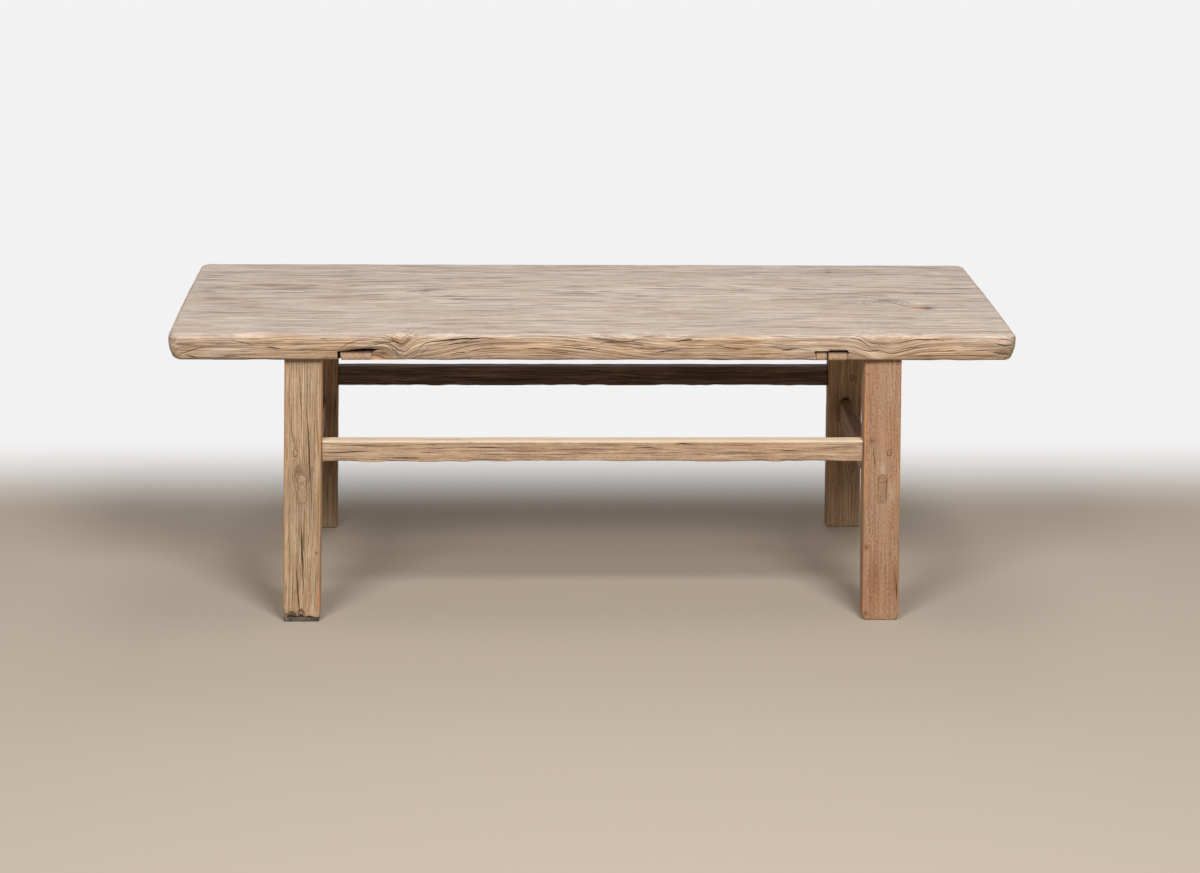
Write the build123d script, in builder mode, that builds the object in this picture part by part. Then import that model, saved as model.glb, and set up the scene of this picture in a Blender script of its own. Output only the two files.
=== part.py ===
"""Low kang table in old elm: a thick plank top on four splayed legs.

Millimetres. +X runs along the table's length, +Y to its back and +Z up. The origin is on the
floor under the middle of the top.

The legs lean inward as they rise, in both directions, and their feet and shoulders are cut
level. Blind tenons hold them in the plank. Two long stretchers run through the legs along X,
each tenon locked by a flat peg. Two side stretchers run through the legs along Y at a lower
level, each tenon locked by a wedge above it. Two battens lie flush in dovetail grooves across
the plank's underside.
"""

import os
from math import radians, tan

from build123d import *

os.makedirs("parts", exist_ok=True)

# Overall sizes
table_height = 423.0
top_length = 1194.0
top_width = 460.0
top_thickness = 37.5

# Plank top: its sawn ends swell slightly outward, and its corners and arrises are worn round
end_bow = 1.5
corner_radius = 18.0
top_edge_radius = 5.0
under_edge_radius = 5.0

# Legs: overhang and setback run from the plank's edges to the legs' outer faces at the shoulder
leg_width = 53.0
leg_depth = 36.0
end_overhang = 163.0
side_setback = 9.5
splay_angle_x = 1.4
splay_angle_y = 2.0
leg_edge_radius = 3.0
foot_chamfer = 1.5

# Felt pad that levels the front left foot
pad_thickness = 6.0
pad_inset = 1.0

# Blind joint between leg and plank
leg_tenon_width = 38.0
leg_tenon_thickness = 14.0
mortise_cover = 10.5
mortise_end_gap = 1.0

# Long stretchers, front and back
long_stretcher_bottom = 233.5
long_stretcher_height = 32.0
long_stretcher_depth = 21.0
long_tenon_height = 24.0
long_tenon_thickness = 11.0
long_edge_radius = 2.5

# Flat pegs through the long stretchers' tenons, set outward of each leg's middle
peg_height = 10.0
peg_width = 5.2
peg_offset = 10.0

# Side stretchers, so far below the long ones that the mortises miss each other
stretcher_stagger = 20.0
side_stretcher_height = 38.5
side_stretcher_thickness = 20.0
side_tenon_thickness = 11.5
side_mortise_headroom = 4.0
side_edge_radius = 3.0

# Wedges above the side stretchers' tenons, thickest at the leg's outer face
wedge_height = 12.0
wedge_taper = 3.5
wedge_setback = 3.0

# Dovetailed battens across the underside, widest at the floor of their grooves
batten_leg_gap = 25.0
batten_width = 46.0
batten_depth = 12.0
dovetail_angle = 10.0
batten_key_width = 17.0

# Fit between any two pieces that slide together
joint_clearance = 0.2

# Worked-out levels and slopes
underside = table_height - top_thickness
mortise_depth = top_thickness - mortise_cover
leg_tenon_length = mortise_depth - mortise_end_gap
lean_x = tan(radians(splay_angle_x))
lean_y = tan(radians(splay_angle_y))
shoulder_x = top_length / 2 - end_overhang - leg_width / 2
shoulder_y = top_width / 2 - side_setback - leg_depth / 2
batten_centre_x = shoulder_x - leg_width / 2 - batten_leg_gap - batten_width / 2
long_stretcher_top = long_stretcher_bottom + long_stretcher_height
long_centre_z = long_stretcher_bottom + long_stretcher_height / 2
side_stretcher_top = long_stretcher_bottom - stretcher_stagger
side_stretcher_bottom = side_stretcher_top - side_stretcher_height
side_mortise_top = side_stretcher_top + side_mortise_headroom
side_mortise_height = side_mortise_top - side_stretcher_bottom
side_mortise_centre_z = (side_stretcher_bottom + side_mortise_top) / 2

left, right = -1, 1
front, back = -1, 1
corners = {
    "front_left": (left, front),
    "front_right": (right, front),
    "back_left": (left, back),
    "back_right": (right, back),
}


def leg_x(z):
    """Distance of a leg's centre line from the middle of the table along X at height z."""
    return shoulder_x + lean_x * (underside - z)


def leg_y(z):
    """Distance of a leg's centre line from the middle of the table along Y at height z."""
    return shoulder_y + lean_y * (underside - z)


def depth_band(side_y, low, high):
    """Side view of the space that a leg fills between two heights."""
    half = leg_depth / 2
    return [
        (side_y * (leg_y(low) - half), low),
        (side_y * (leg_y(low) + half), low),
        (side_y * (leg_y(high) + half), high),
        (side_y * (leg_y(high) - half), high),
    ]


def span_outline(leg_line, beyond, low, high):
    """Outline from leg to leg between two heights, its ends so far beyond the centre lines."""
    return [
        (-leg_line(low) - beyond, low),
        (leg_line(low) + beyond, low),
        (leg_line(high) + beyond, high),
        (-leg_line(high) - beyond, high),
    ]


# The plank's rounded blank, which the top and its flush battens are cut from
corner_x = top_length / 2 - end_bow
with BuildPart() as plank:
    with BuildSketch(Plane.XY.offset(underside)) as plank_outline:
        with BuildLine():
            Line((-corner_x, -top_width / 2), (corner_x, -top_width / 2))
            ThreePointArc(
                (corner_x, -top_width / 2), (top_length / 2, 0), (corner_x, top_width / 2)
            )
            Line((corner_x, top_width / 2), (-corner_x, top_width / 2))
            ThreePointArc(
                (-corner_x, top_width / 2), (-top_length / 2, 0), (-corner_x, -top_width / 2)
            )
        make_face()
        fillet(plank_outline.vertices(), corner_radius)
    extrude(amount=top_thickness)
    fillet(plank.faces().sort_by(Axis.Z)[-1].edges(), top_edge_radius)
    fillet(plank.faces().sort_by(Axis.Z)[0].edges(), under_edge_radius)

# Top board: the blank, less two dovetail grooves and four leaning blind mortises
with BuildPart() as top_board:
    add(plank.part)
    with BuildSketch(Plane.XZ) as groove_section:
        with Locations((-batten_centre_x, underside), (batten_centre_x, underside)):
            Trapezoid(
                batten_width + 2 * joint_clearance,
                batten_depth + joint_clearance,
                90 + dovetail_angle,
                align=(Align.CENTER, Align.MIN),
            )
    extrude(amount=top_width, both=True, mode=Mode.SUBTRACT)
    for side_x, side_y in corners.values():
        lean = Vector(-side_x * lean_x, -side_y * lean_y, 1)
        mouth = Plane((side_x * shoulder_x, side_y * shoulder_y, underside))
        with BuildSketch(mouth) as mortise_mouth:
            Rectangle(
                leg_tenon_width + 2 * joint_clearance,
                leg_tenon_thickness + 2 * joint_clearance,
            )
        extrude(amount=mortise_depth * lean.length, dir=lean, mode=Mode.SUBTRACT)
top_board.part.label = "top_board"
export_step(top_board.part, "parts/top_board.step")

# Left batten: one dovetailed bar, its ends worn round with the plank's edge
with BuildPart() as left_batten:
    with BuildSketch(Plane.XZ) as left_batten_section:
        with Locations((-batten_centre_x, underside)):
            Trapezoid(
                batten_width, batten_depth, 90 + dovetail_angle, align=(Align.CENTER, Align.MIN)
            )
    extrude(amount=top_width, both=True)
    add(plank.part, mode=Mode.INTERSECT)
left_batten.part.label = "left_batten"
export_step(left_batten.part, "parts/left_batten.step")

# Right batten: square on its inner side, where a dovetailed key locks it in the groove
right_groove_start = batten_centre_x - batten_width / 2
with BuildPart() as right_batten:
    with BuildSketch(Plane.XZ) as right_batten_section:
        with Locations((right_groove_start + batten_key_width + joint_clearance, underside)):
            Trapezoid(
                batten_width - batten_key_width - joint_clearance,
                batten_depth,
                90,
                90 + dovetail_angle,
                align=(Align.MIN, Align.MIN),
            )
    extrude(amount=top_width, both=True)
    add(plank.part, mode=Mode.INTERSECT)
right_batten.part.label = "right_batten"
export_step(right_batten.part, "parts/right_batten.step")

with BuildPart() as right_batten_key:
    with BuildSketch(Plane.XZ) as right_key_section:
        with Locations((right_groove_start + batten_key_width, underside)):
            Trapezoid(
                batten_key_width,
                batten_depth,
                90 + dovetail_angle,
                90,
                align=(Align.MAX, Align.MIN),
            )
    extrude(amount=top_width, both=True)
    add(plank.part, mode=Mode.INTERSECT)
right_batten_key.part.label = "right_batten_key"
export_step(right_batten_key.part, "parts/right_batten_key.step")

# Legs: a sheared bar with a blind tenon on top, two through mortises and a peg slot
for corner, (side_x, side_y) in corners.items():
    foot_z = pad_thickness if corner == "front_left" else 0.0
    lean = Vector(-side_x * lean_x, -side_y * lean_y, 1)
    foot = Plane((side_x * leg_x(foot_z), side_y * leg_y(foot_z), foot_z))
    shoulder = Plane((side_x * shoulder_x, side_y * shoulder_y, underside))
    across = Plane.YZ.offset(side_x * leg_x(long_centre_z))
    along = Plane.XZ.offset(-side_y * leg_y(long_centre_z))
    with BuildPart() as leg:
        with BuildSketch(foot) as leg_section:
            RectangleRounded(leg_width, leg_depth, leg_edge_radius)
        extrude(amount=(underside - foot_z) * lean.length, dir=lean)
        chamfer(leg.faces().sort_by(Axis.Z)[0].edges(), foot_chamfer)
        with BuildSketch(shoulder) as leg_tenon:
            Rectangle(leg_tenon_width, leg_tenon_thickness)
        extrude(amount=leg_tenon_length * lean.length, dir=lean)
        with BuildSketch(across) as long_mortise:
            with Locations((side_y * leg_y(long_centre_z), long_centre_z)):
                Rectangle(
                    long_tenon_thickness + 2 * joint_clearance,
                    long_tenon_height + 2 * joint_clearance,
                )
        extrude(amount=leg_width, both=True, mode=Mode.SUBTRACT)
        with BuildSketch(along) as side_mortise:
            with Locations((side_x * leg_x(side_mortise_centre_z), side_mortise_centre_z)):
                SlotOverall(
                    side_mortise_height + 2 * joint_clearance,
                    side_tenon_thickness + 2 * joint_clearance,
                    rotation=90,
                )
        extrude(amount=leg_depth, both=True, mode=Mode.SUBTRACT)
        with BuildSketch(along) as peg_slot:
            with Locations((side_x * (leg_x(long_centre_z) + peg_offset), long_centre_z)):
                SlotOverall(
                    peg_height + 2 * joint_clearance, peg_width + 2 * joint_clearance, rotation=90
                )
        extrude(amount=leg_depth, both=True, mode=Mode.SUBTRACT)
    leg.part.label = f"leg_{corner}"
    export_step(leg.part, f"parts/leg_{corner}.step")

# Felt pad under the front left foot
pad_x = -leg_x(pad_thickness)
pad_y = -leg_y(pad_thickness)
with BuildPart() as foot_pad:
    with BuildSketch(Plane((pad_x, pad_y, 0))) as pad_outline:
        RectangleRounded(leg_width - 2 * pad_inset, leg_depth - 2 * pad_inset, leg_edge_radius)
    extrude(amount=pad_thickness)
foot_pad.part.label = "front_left_foot_pad"
export_step(foot_pad.part, "parts/front_left_foot_pad.step")

# Long stretchers: shoulders on the legs' inner faces, tenons flush with the outer ones
for name, side_y in (("front_stretcher", front), ("back_stretcher", back)):
    stretcher_plane = Plane.XZ.offset(-side_y * leg_y(long_centre_z))
    tenon_bottom = long_centre_z - long_tenon_height / 2
    tenon_top = long_centre_z + long_tenon_height / 2
    with BuildPart() as long_stretcher:
        with BuildSketch(stretcher_plane) as body_outline:
            with BuildLine():
                body_points = span_outline(
                    leg_x, -leg_width / 2, long_stretcher_bottom, long_stretcher_top
                )
                Polyline(*body_points, close=True)
            make_face()
        extrude(amount=long_stretcher_depth / 2, both=True)
        fillet(long_stretcher.edges().filter_by(Axis.X), long_edge_radius)
        with BuildSketch(stretcher_plane) as tenon_outline:
            with BuildLine():
                tenon_points = span_outline(leg_x, leg_width / 2, tenon_bottom, tenon_top)
                Polyline(*tenon_points, close=True)
            make_face()
        extrude(amount=long_tenon_thickness / 2, both=True)
        with BuildSketch(stretcher_plane) as peg_slots:
            peg_reach = leg_x(long_centre_z) + peg_offset
            with Locations((-peg_reach, long_centre_z), (peg_reach, long_centre_z)):
                SlotOverall(
                    peg_height + 2 * joint_clearance, peg_width + 2 * joint_clearance, rotation=90
                )
        extrude(amount=long_stretcher_depth, both=True, mode=Mode.SUBTRACT)
    long_stretcher.part.label = name
    export_step(long_stretcher.part, f"parts/{name}.step")

# Flat pegs that lock the long stretchers' tenons, trimmed flush with the legs
for corner, (side_x, side_y) in corners.items():
    along = Plane.XZ.offset(-side_y * leg_y(long_centre_z))
    with BuildPart() as peg:
        with BuildSketch(along) as peg_section:
            with Locations((side_x * (leg_x(long_centre_z) + peg_offset), long_centre_z)):
                SlotOverall(peg_height, peg_width, rotation=90)
        extrude(amount=leg_depth, both=True)
        with BuildSketch(Plane.YZ) as peg_trim:
            with BuildLine():
                peg_points = depth_band(
                    side_y, long_centre_z - peg_height, long_centre_z + peg_height
                )
                Polyline(*peg_points, close=True)
            make_face()
        extrude(amount=top_length, both=True, mode=Mode.INTERSECT)
    peg.part.label = f"peg_{corner}"
    export_step(peg.part, f"parts/peg_{corner}.step")

# Side stretchers: a bar with round-ended tenons whose tops slope down towards the outside
side_x_offset = leg_x(side_mortise_centre_z)
tenon_top_outside = side_mortise_top - wedge_height
tenon_top_inside = tenon_top_outside + wedge_taper
outside_y = leg_y(tenon_top_outside) + leg_depth / 2
inside_y = leg_y(tenon_top_inside) - leg_depth / 2
for name, side_x in (("left_side_stretcher", left), ("right_side_stretcher", right)):
    with BuildPart() as tenon_bar:
        with BuildSketch(Plane.XZ) as tenon_section:
            with Locations((side_x * side_x_offset, side_mortise_centre_z)):
                SlotOverall(side_mortise_height, side_tenon_thickness, rotation=90)
        extrude(amount=top_width, both=True)
        with BuildSketch(Plane.YZ) as tenon_profile:
            with BuildLine():
                foot_y = leg_y(side_stretcher_bottom) + leg_depth / 2
                Polyline(
                    (-foot_y, side_stretcher_bottom),
                    (foot_y, side_stretcher_bottom),
                    (outside_y, tenon_top_outside),
                    (inside_y, tenon_top_inside),
                    (-inside_y, tenon_top_inside),
                    (-outside_y, tenon_top_outside),
                    close=True,
                )
            make_face()
        extrude(amount=top_length, both=True, mode=Mode.INTERSECT)
    with BuildPart() as side_stretcher:
        with BuildSketch(Plane.YZ.offset(side_x * side_x_offset)) as side_outline:
            with BuildLine():
                side_points = span_outline(
                    leg_y, -leg_depth / 2, side_stretcher_bottom, side_stretcher_top
                )
                Polyline(*side_points, close=True)
            make_face()
        extrude(amount=side_stretcher_thickness / 2, both=True)
        fillet(side_stretcher.edges().filter_by(Axis.Y), side_edge_radius)
        add(tenon_bar.part)
    side_stretcher.part.label = name
    export_step(side_stretcher.part, f"parts/{name}.step")

# Wedges that fill each mortise above the sloping tenon
for corner, (side_x, side_y) in corners.items():
    with BuildPart() as wedge:
        with BuildSketch(Plane.XZ) as wedge_section:
            with Locations((side_x * side_x_offset, side_mortise_centre_z)):
                SlotOverall(side_mortise_height, side_tenon_thickness, rotation=90)
        extrude(amount=top_width, both=True)
        with BuildSketch(Plane.YZ) as wedge_profile:
            with BuildLine():
                slope = wedge_taper / (outside_y - inside_y)
                inner_end = inside_y + wedge_setback
                Polyline(
                    (side_y * outside_y, tenon_top_outside),
                    (side_y * (leg_y(side_mortise_top) + leg_depth / 2), side_mortise_top),
                    (side_y * inner_end, side_mortise_top),
                    (side_y * inner_end, tenon_top_inside - slope * wedge_setback),
                    close=True,
                )
            make_face()
        extrude(amount=top_length, both=True, mode=Mode.INTERSECT)
    wedge.part.label = f"wedge_{corner}"
    export_step(wedge.part, f"parts/wedge_{corner}.step")
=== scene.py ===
"""Looks of the old-elm kang table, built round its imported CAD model.

Every piece starts as the CAD piece's own bar or slab, as a closed grid of points, and is worn
inwards from there. Its grain, cracks, knots and wear are worked out at each point, shape the
mesh, and stay on it as attributes that the wood material reads. Lengths are millimetres until
a mesh is made, which turns them into metres.
"""

import itertools
import math
from collections import namedtuple
from dataclasses import dataclass

import bpy
import numpy as np
from mathutils import Matrix, Vector


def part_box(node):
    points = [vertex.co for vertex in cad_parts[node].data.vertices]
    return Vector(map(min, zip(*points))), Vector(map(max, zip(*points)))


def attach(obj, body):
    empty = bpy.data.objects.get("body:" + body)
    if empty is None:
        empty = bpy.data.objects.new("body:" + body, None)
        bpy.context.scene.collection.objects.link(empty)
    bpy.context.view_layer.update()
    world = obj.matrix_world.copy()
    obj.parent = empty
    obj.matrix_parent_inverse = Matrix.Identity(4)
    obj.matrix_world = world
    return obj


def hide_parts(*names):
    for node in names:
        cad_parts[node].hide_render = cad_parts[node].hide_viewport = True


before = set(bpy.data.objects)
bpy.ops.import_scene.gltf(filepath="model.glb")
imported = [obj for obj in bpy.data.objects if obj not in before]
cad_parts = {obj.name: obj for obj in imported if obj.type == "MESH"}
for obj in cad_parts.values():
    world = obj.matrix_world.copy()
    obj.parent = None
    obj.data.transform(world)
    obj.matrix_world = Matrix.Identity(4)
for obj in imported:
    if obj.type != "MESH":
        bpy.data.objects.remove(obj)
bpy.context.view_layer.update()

MM = 0.001

# A timber's own directions, U along it, and the planes of table axes that outlines lie in
U, V, W = 0, 1, 2
PLAN, SIDE_VIEW, FRONT_VIEW = [0, 1], [1, 2], [0, 2]


def span(node):
    """Lowest and highest corner of a CAD node, in millimetres."""
    low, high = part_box(node)
    return np.array(low) / MM, np.array(high) / MM


# Sizes, from the frame where it shows them
top_low, top_high = span("top_board")
underside, table_height = top_low[2], top_high[2]
top_length, top_width = (top_high - top_low)[:2]
end_bow = 1.5
top_corner_radius = 18.0
under_edge_radius = 5.0
worn_arris_radius = 9.0

leg_width, leg_depth = 53.0, 36.0
leg_low, leg_high = span("leg_front_right")
foot_x, shoulder_x = leg_high[0] - leg_width / 2, leg_low[0] + leg_width / 2
foot_y, shoulder_y = leg_depth / 2 - leg_low[1] - leg_depth, -leg_high[1] + leg_depth / 2
lean_x, lean_y = (foot_x - shoulder_x) / underside, (foot_y - shoulder_y) / underside
leg_edge_radius = 3.0
pad_top = span("front_left_foot_pad")[1][2]

leg_tenon = (38.0, 14.0)
long_tenon = (11.0, 24.0)
side_tenon_thickness = 11.5
peg_low, peg_high = span("peg_front_right")
peg_size, peg_centre = (peg_high - peg_low)[[0, 2]], (peg_low + peg_high) / 2
wedge_low, wedge_high = span("wedge_front_right")
side_low = span("right_side_stretcher")[0]
side_tenon_height = wedge_high[2] - side_low[2]
side_tenon_fall = 3.5
side_below_rail = 20.0
end_recess = 0.5
rail_low, rail_high = span("front_stretcher")
dovetail_slope = math.tan(math.radians(10))
joint_gap = 0.45
knot_depth = 45.0
sharp_angle = math.radians(38)

corners = {
    "front_left": (-1, -1),
    "front_right": (1, -1),
    "back_left": (-1, 1),
    "back_right": (1, 1),
}


# ---------------------------------------------------------------- noise and curves
def lattice(cell, seed):
    """A fixed value from 0 to 1 for each whole-number point, by an integer hash."""
    cell = cell.astype(np.int64)
    mixed = cell[..., 0] * 73856093 ^ cell[..., 1] * 19349663 ^ cell[..., 2] * 83492791
    mixed = ((mixed ^ seed * 2654435761) & 0xFFFFFFFF).astype(np.uint64)
    for multiplier in (2246822519, 3266489917):
        mixed = ((mixed ^ (mixed >> np.uint64(15))) * np.uint64(multiplier)) & np.uint64(0xFFFFFFFF)
    return (mixed ^ (mixed >> np.uint64(16))) / 0xFFFFFFFF


def noise(points, size, seed, octaves=1):
    """Smooth noise, mostly from -1 to 1, with lumps of about size along each direction."""
    total, strength, size = 0.0, 1.0, np.asarray(size, float)
    for octave in range(octaves):
        at = points / size
        cell = np.floor(at)
        part = at - cell
        part = part * part * (3 - 2 * part)
        value = 0.0
        for corner in itertools.product((0, 1), repeat=3):
            share = np.prod(np.where(corner, part, 1 - part), axis=1)
            value = value + share * lattice(cell + corner, seed + 17 * octave)
        total = total + strength * (2 * value - 1)
        strength, size = strength / 2, size / 2
    return total


def ease(value, low, high):
    """0 below low, 1 above high, and a smooth step between them."""
    part = np.clip((value - low) / (high - low), 0, 1)
    return part * part * (3 - 2 * part)


def bell(value, width):
    return np.exp(-((value / width) ** 2))


# ---------------------------------------------------------------- grids of points
def samples(half, insets, step, extra):
    """Positions from -half to half: the insets in from both ends, and even steps between."""
    insets = np.asarray(insets)
    inner = half - insets[-1]
    middle = np.linspace(-inner, inner, max(2, round(2 * inner / step)) + 1)[1:-1]
    return np.unique(np.concatenate([insets - half, middle, half - insets, extra]))


def box_grid(axes):
    """A closed box of grid points and its outward quads."""
    counts = [len(axis) for axis in axes]
    quads = []
    for axis in range(3):
        first, second = (axis + 1) % 3, (axis + 2) % 3
        i, j = np.meshgrid(np.arange(counts[first]), np.arange(counts[second]), indexing="ij")
        for end in (0, counts[axis] - 1):
            index = [None] * 3
            index[first], index[second], index[axis] = i, j, np.full(i.shape, end)
            key = np.ravel_multi_index(index, counts)
            ring = [key[:-1, :-1], key[1:, :-1], key[1:, 1:], key[:-1, 1:]]
            if end == 0:
                ring.reverse()
            quads.append(np.stack(ring, -1).reshape(-1, 4))
    used, flat = np.unique(np.concatenate(quads), return_inverse=True)
    index = np.unravel_index(used, counts)
    points = np.stack([np.asarray(axes[a], float)[index[a]] for a in range(3)], -1)
    return points, flat.reshape(-1, 4)


def slab(half, low, high, corner, arrises, steps, extra=((), ())):
    """A slab with rounded corners and arrises, as points, outward normals and quads.

    half holds its two half widths and low and high its two ends; corner is the radius of its
    four long corners, and arrises the radii round its low and its high end.
    """
    half = np.asarray(half, float)
    turns, closest = np.linspace(0, math.pi / 2, 6), 0.15
    reach = max(arrises)
    insets = np.unique(np.concatenate([(1 - np.cos(turns)) * r for r in (corner, reach)]).round(3))
    insets = insets[np.concatenate([[True], np.diff(insets) > closest])]
    plan = [samples(half[a], insets, steps[a], extra[a]) for a in (0, 1)]
    rows = np.linspace(0, 1, max(2, round((high - low) / steps[2])) + 1)
    points, quads = box_grid([plan[0], plan[1], rows])

    across, level = points[:, :2], points[:, 2]
    beyond = np.clip((np.abs(across) - (half - corner)) / corner, 0, 1)
    length = np.linalg.norm(beyond, axis=1)
    outward = beyond / np.maximum(length, 1e-9)[:, None]
    curved = beyond * (beyond.max(axis=1) / np.maximum(length, 1e-9))[:, None]
    inset = (half - np.abs(across)).min(axis=1)
    side = np.sign(across)
    placed = np.where(beyond.min(axis=1)[:, None] > 0, half - corner + corner * curved, np.abs(across))

    z = low + arrises[0] + level * (high - low - sum(arrises))
    normal = np.column_stack([outward * side, np.zeros(len(level))])
    for end, radius, sign in ((0.0, arrises[0], -1), (1.0, arrises[1], 1)):
        there = level == end
        lean = np.clip((radius - inset) / radius, 0, 1)[there]
        rise = np.sqrt(1 - lean**2)
        z[there] += sign * radius * rise
        normal[there, :2] *= lean[:, None]
        normal[there, 2] = sign * rise
    return np.column_stack([placed * side, z]), normal, quads


# ---------------------------------------------------------------- timber
Knot = namedtuple("Knot", "face along across length radius")
Crack = namedtuple("Crack", "face route width depth")
Dent = namedtuple("Dent", "centre reach depth")
Spot = namedtuple("Spot", "centre reach strength")


# How long, broad and thick the lumps of noise are, for each kind of wear
wander_lumps, wave_lumps, ridge_lumps = (160, 60, 60), (95, 32, 32), (75, 3.4, 3.4)
chip_lumps, rub_lumps = (26, 9, 9), (40, 12, 12)

# How far in from a long corner its wear reaches, and from which depth to which a piece's ends
# take on the colour of end grain
corner_reach = 3.5
end_grain = (-2.2, -0.6)


def even(value):
    """The same value all over."""
    return lambda local: np.full(len(local), value)


def blots(spots, local, seed):
    """Soft-edged spots, each with its own strength, below zero for paler ones."""
    total = np.zeros(len(local))
    for spot in spots:
        away = (((local - spot.centre) / spot.reach) ** 2).sum(axis=1)
        total += spot.strength * np.exp(-away * (1 + 0.3 * noise(local, 4.0, seed + 8)))
    return np.clip(total, -1, 1)


@dataclass
class Timber:
    """How one piece of wood has grown, split and worn, with its painted shade and highlights, in its own
    directions U, V and W.
    """

    seed: int
    low: tuple
    high: tuple
    pith: tuple = (70, 110)
    knots: list = ()
    cracks: list = ()
    dents: list = ()
    stains: list = ()
    breaks: list = ()
    wave: float = 0.7
    ridge: float = 0.35
    arris_wear: object = even(1.2)
    rise: object = None
    smooth_faces: tuple = ()
    weather: object = even(0.3)
    fresh: float = 0.5
    rub_reach: float = 1.8

    def distance(self, local, face):
        """How far in from a face each point lies."""
        axis, sign = face
        edge = self.high[axis] if sign > 0 else self.low[axis]
        return np.abs(edge - local[:, axis])

    def to_corner(self, local):
        """How far each point lies from the nearest of the four long corners."""
        return sum(np.minimum(local[:, a] - self.low[a], self.high[a] - local[:, a]) for a in (V, W))

    def grain(self, local):
        """Coordinates that bend with the grain, for noise that is drawn out along it."""
        bent = local.copy()
        if self.rise:
            bent[:, W] -= self.rise(local)
        bent[:, V] += 2.5 * noise(local, wander_lumps, self.seed + 1)
        bent[:, W] += 2.5 * noise(local, wander_lumps, self.seed + 2)
        for knot in self.knots:
            axis = V + W - knot.face[0]
            fade = bell(self.distance(local, knot.face), knot_depth)
            core = knot.radius * bell(local[:, U] - knot.along, knot.length) * fade
            offset = bent[:, axis] - knot.across
            push = core * np.exp(-np.maximum(np.abs(offset) - core, 0) / (1.6 * knot.radius))
            kept = np.maximum(np.abs(offset) - push, 0)
            bent[:, axis] = knot.across + np.sign(offset) * kept
        return bent

    def relief(self, local):
        """How far each point is worn in from the sawn surface."""
        grain = self.grain(local)
        rough = np.ones(len(local))
        for face in self.smooth_faces:
            rough = rough * (0.2 + 0.8 * ease(self.distance(local, face), 1, 7))
        worn = self.wave * (0.5 + 0.5 * noise(local, wave_lumps, self.seed + 3))
        ridges = 0.5 + 0.5 * noise(grain, ridge_lumps, self.seed + 4, 2) / 1.5
        worn = worn + self.ridge * np.clip(ridges, 0, 1)
        chips = np.clip(0.45 + noise(local, chip_lumps, self.seed + 5, 2), 0, 1.4)
        corner = np.exp(-np.maximum(self.to_corner(local), 0) / corner_reach)
        worn = worn * rough + self.arris_wear(local) * corner * chips
        for dent in self.dents:
            away = (local - dent.centre) / dent.reach
            ragged = 1 + 0.35 * noise(local, 5.0, self.seed + 6, 2)
            worn = worn + dent.depth * np.clip(1 - (away**2).sum(axis=1) * ragged, 0, 1) ** 0.6
        return np.maximum(worn, 0)

    def blades(self):
        """Rings of points for the thin, tapering blade that cuts each crack."""
        made = []
        tip, fullness, narrowing = 0.02, 0.6, 0.3
        for number, crack in enumerate(self.cracks):
            axis, sign = crack.face
            other = V + W - axis
            route = np.array(crack.route, float)
            steps = max(4, round((route[-1, 0] - route[0, 0]) / 5)) + 1
            line = np.zeros((steps, 3))
            line[:, U] = np.linspace(route[0, 0], route[-1, 0], steps)
            line[:, other] = np.interp(line[:, U], route[:, 0], route[:, 1])
            line[:, axis] = self.high[axis] if sign > 0 else self.low[axis]
            line[:, other] += 0.5 * noise(line, (9, 400, 400), self.seed + 31 * number)
            sideways = np.zeros((steps, 3))
            sideways[:, U], sideways[:, other] = -np.gradient(line[:, other], line[:, U]), 1
            sideways /= np.linalg.norm(sideways, axis=1)[:, None]
            inward = np.zeros(3)
            inward[axis] = -sign
            taper = np.sin(np.linspace(tip, math.pi - tip, steps))[:, None] ** fullness
            half = sideways * crack.width / 2 * taper
            mouth = line - inward
            bottom = line + (self.relief(line)[:, None] + crack.depth * taper) * inward
            floor = narrowing * half
            blade = [mouth - half, mouth + half, bottom + floor, bottom - floor]
            made.append(np.stack(blade, axis=1))
        return made

    def paint(self, local):
        """The attributes that the wood material reads at each point."""
        grain = self.grain(local)
        rings = np.zeros(len(local))
        for knot in self.knots:
            axis = V + W - knot.face[0]
            along, across = local[:, U] - knot.along, local[:, axis] - knot.across
            away = np.hypot(along / knot.length, across / knot.radius)
            fade = bell(self.distance(local, knot.face), knot_depth)
            rings = np.maximum(rings, np.clip(1.25 - away, 0, 1) * fade)
        middle, half = (self.low[U] + self.high[U]) / 2, (self.high[U] - self.low[U]) / 2
        rubbed = 1 - ease(self.to_corner(local), 2, 2 + self.rub_reach)
        rub = np.clip(0.5 + 0.8 * noise(local, rub_lumps, self.seed + 9, 2), 0, 1)
        return {
            "grain": grain,
            "ring": np.hypot(grain[:, V] - self.pith[0], grain[:, W] - self.pith[1]),
            "stain": blots(self.stains, local, self.seed),
            "broken": blots(self.breaks, local, self.seed),
            "knot": rings,
            "weather": self.weather(local),
            "end": ease(np.abs(local[:, U] - middle) - half, *end_grain),
            "fresh": np.clip(self.fresh * rubbed * (0.4 + rub), 0, 1),
        }


def level_shift(x, y):
    """Shifts of points along X and Y, each one number for all or one for each point."""
    x, y = np.broadcast_arrays(x, y)
    return np.column_stack([x, y, np.zeros(len(x))])


class Axes:
    """A piece's own directions, set in the table's X, Y and Z."""

    def __init__(self, order, centre=(0, 0, 0), shift=None):
        self.order, self.centre, self.shift = list(order), np.array(centre, float), shift

    def to_world(self, local):
        world = np.empty_like(local)
        world[:, self.order] = local
        world = world + self.centre
        return world + self.shift(world) if self.shift else world

    def to_local(self, world):
        if self.shift:
            world = world - self.shift(world)
        return (world - self.centre)[:, self.order]


ALONG_X, ALONG_Y, ALONG_Z = (0, 1, 2), (1, 2, 0), (2, 0, 1)


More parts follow.
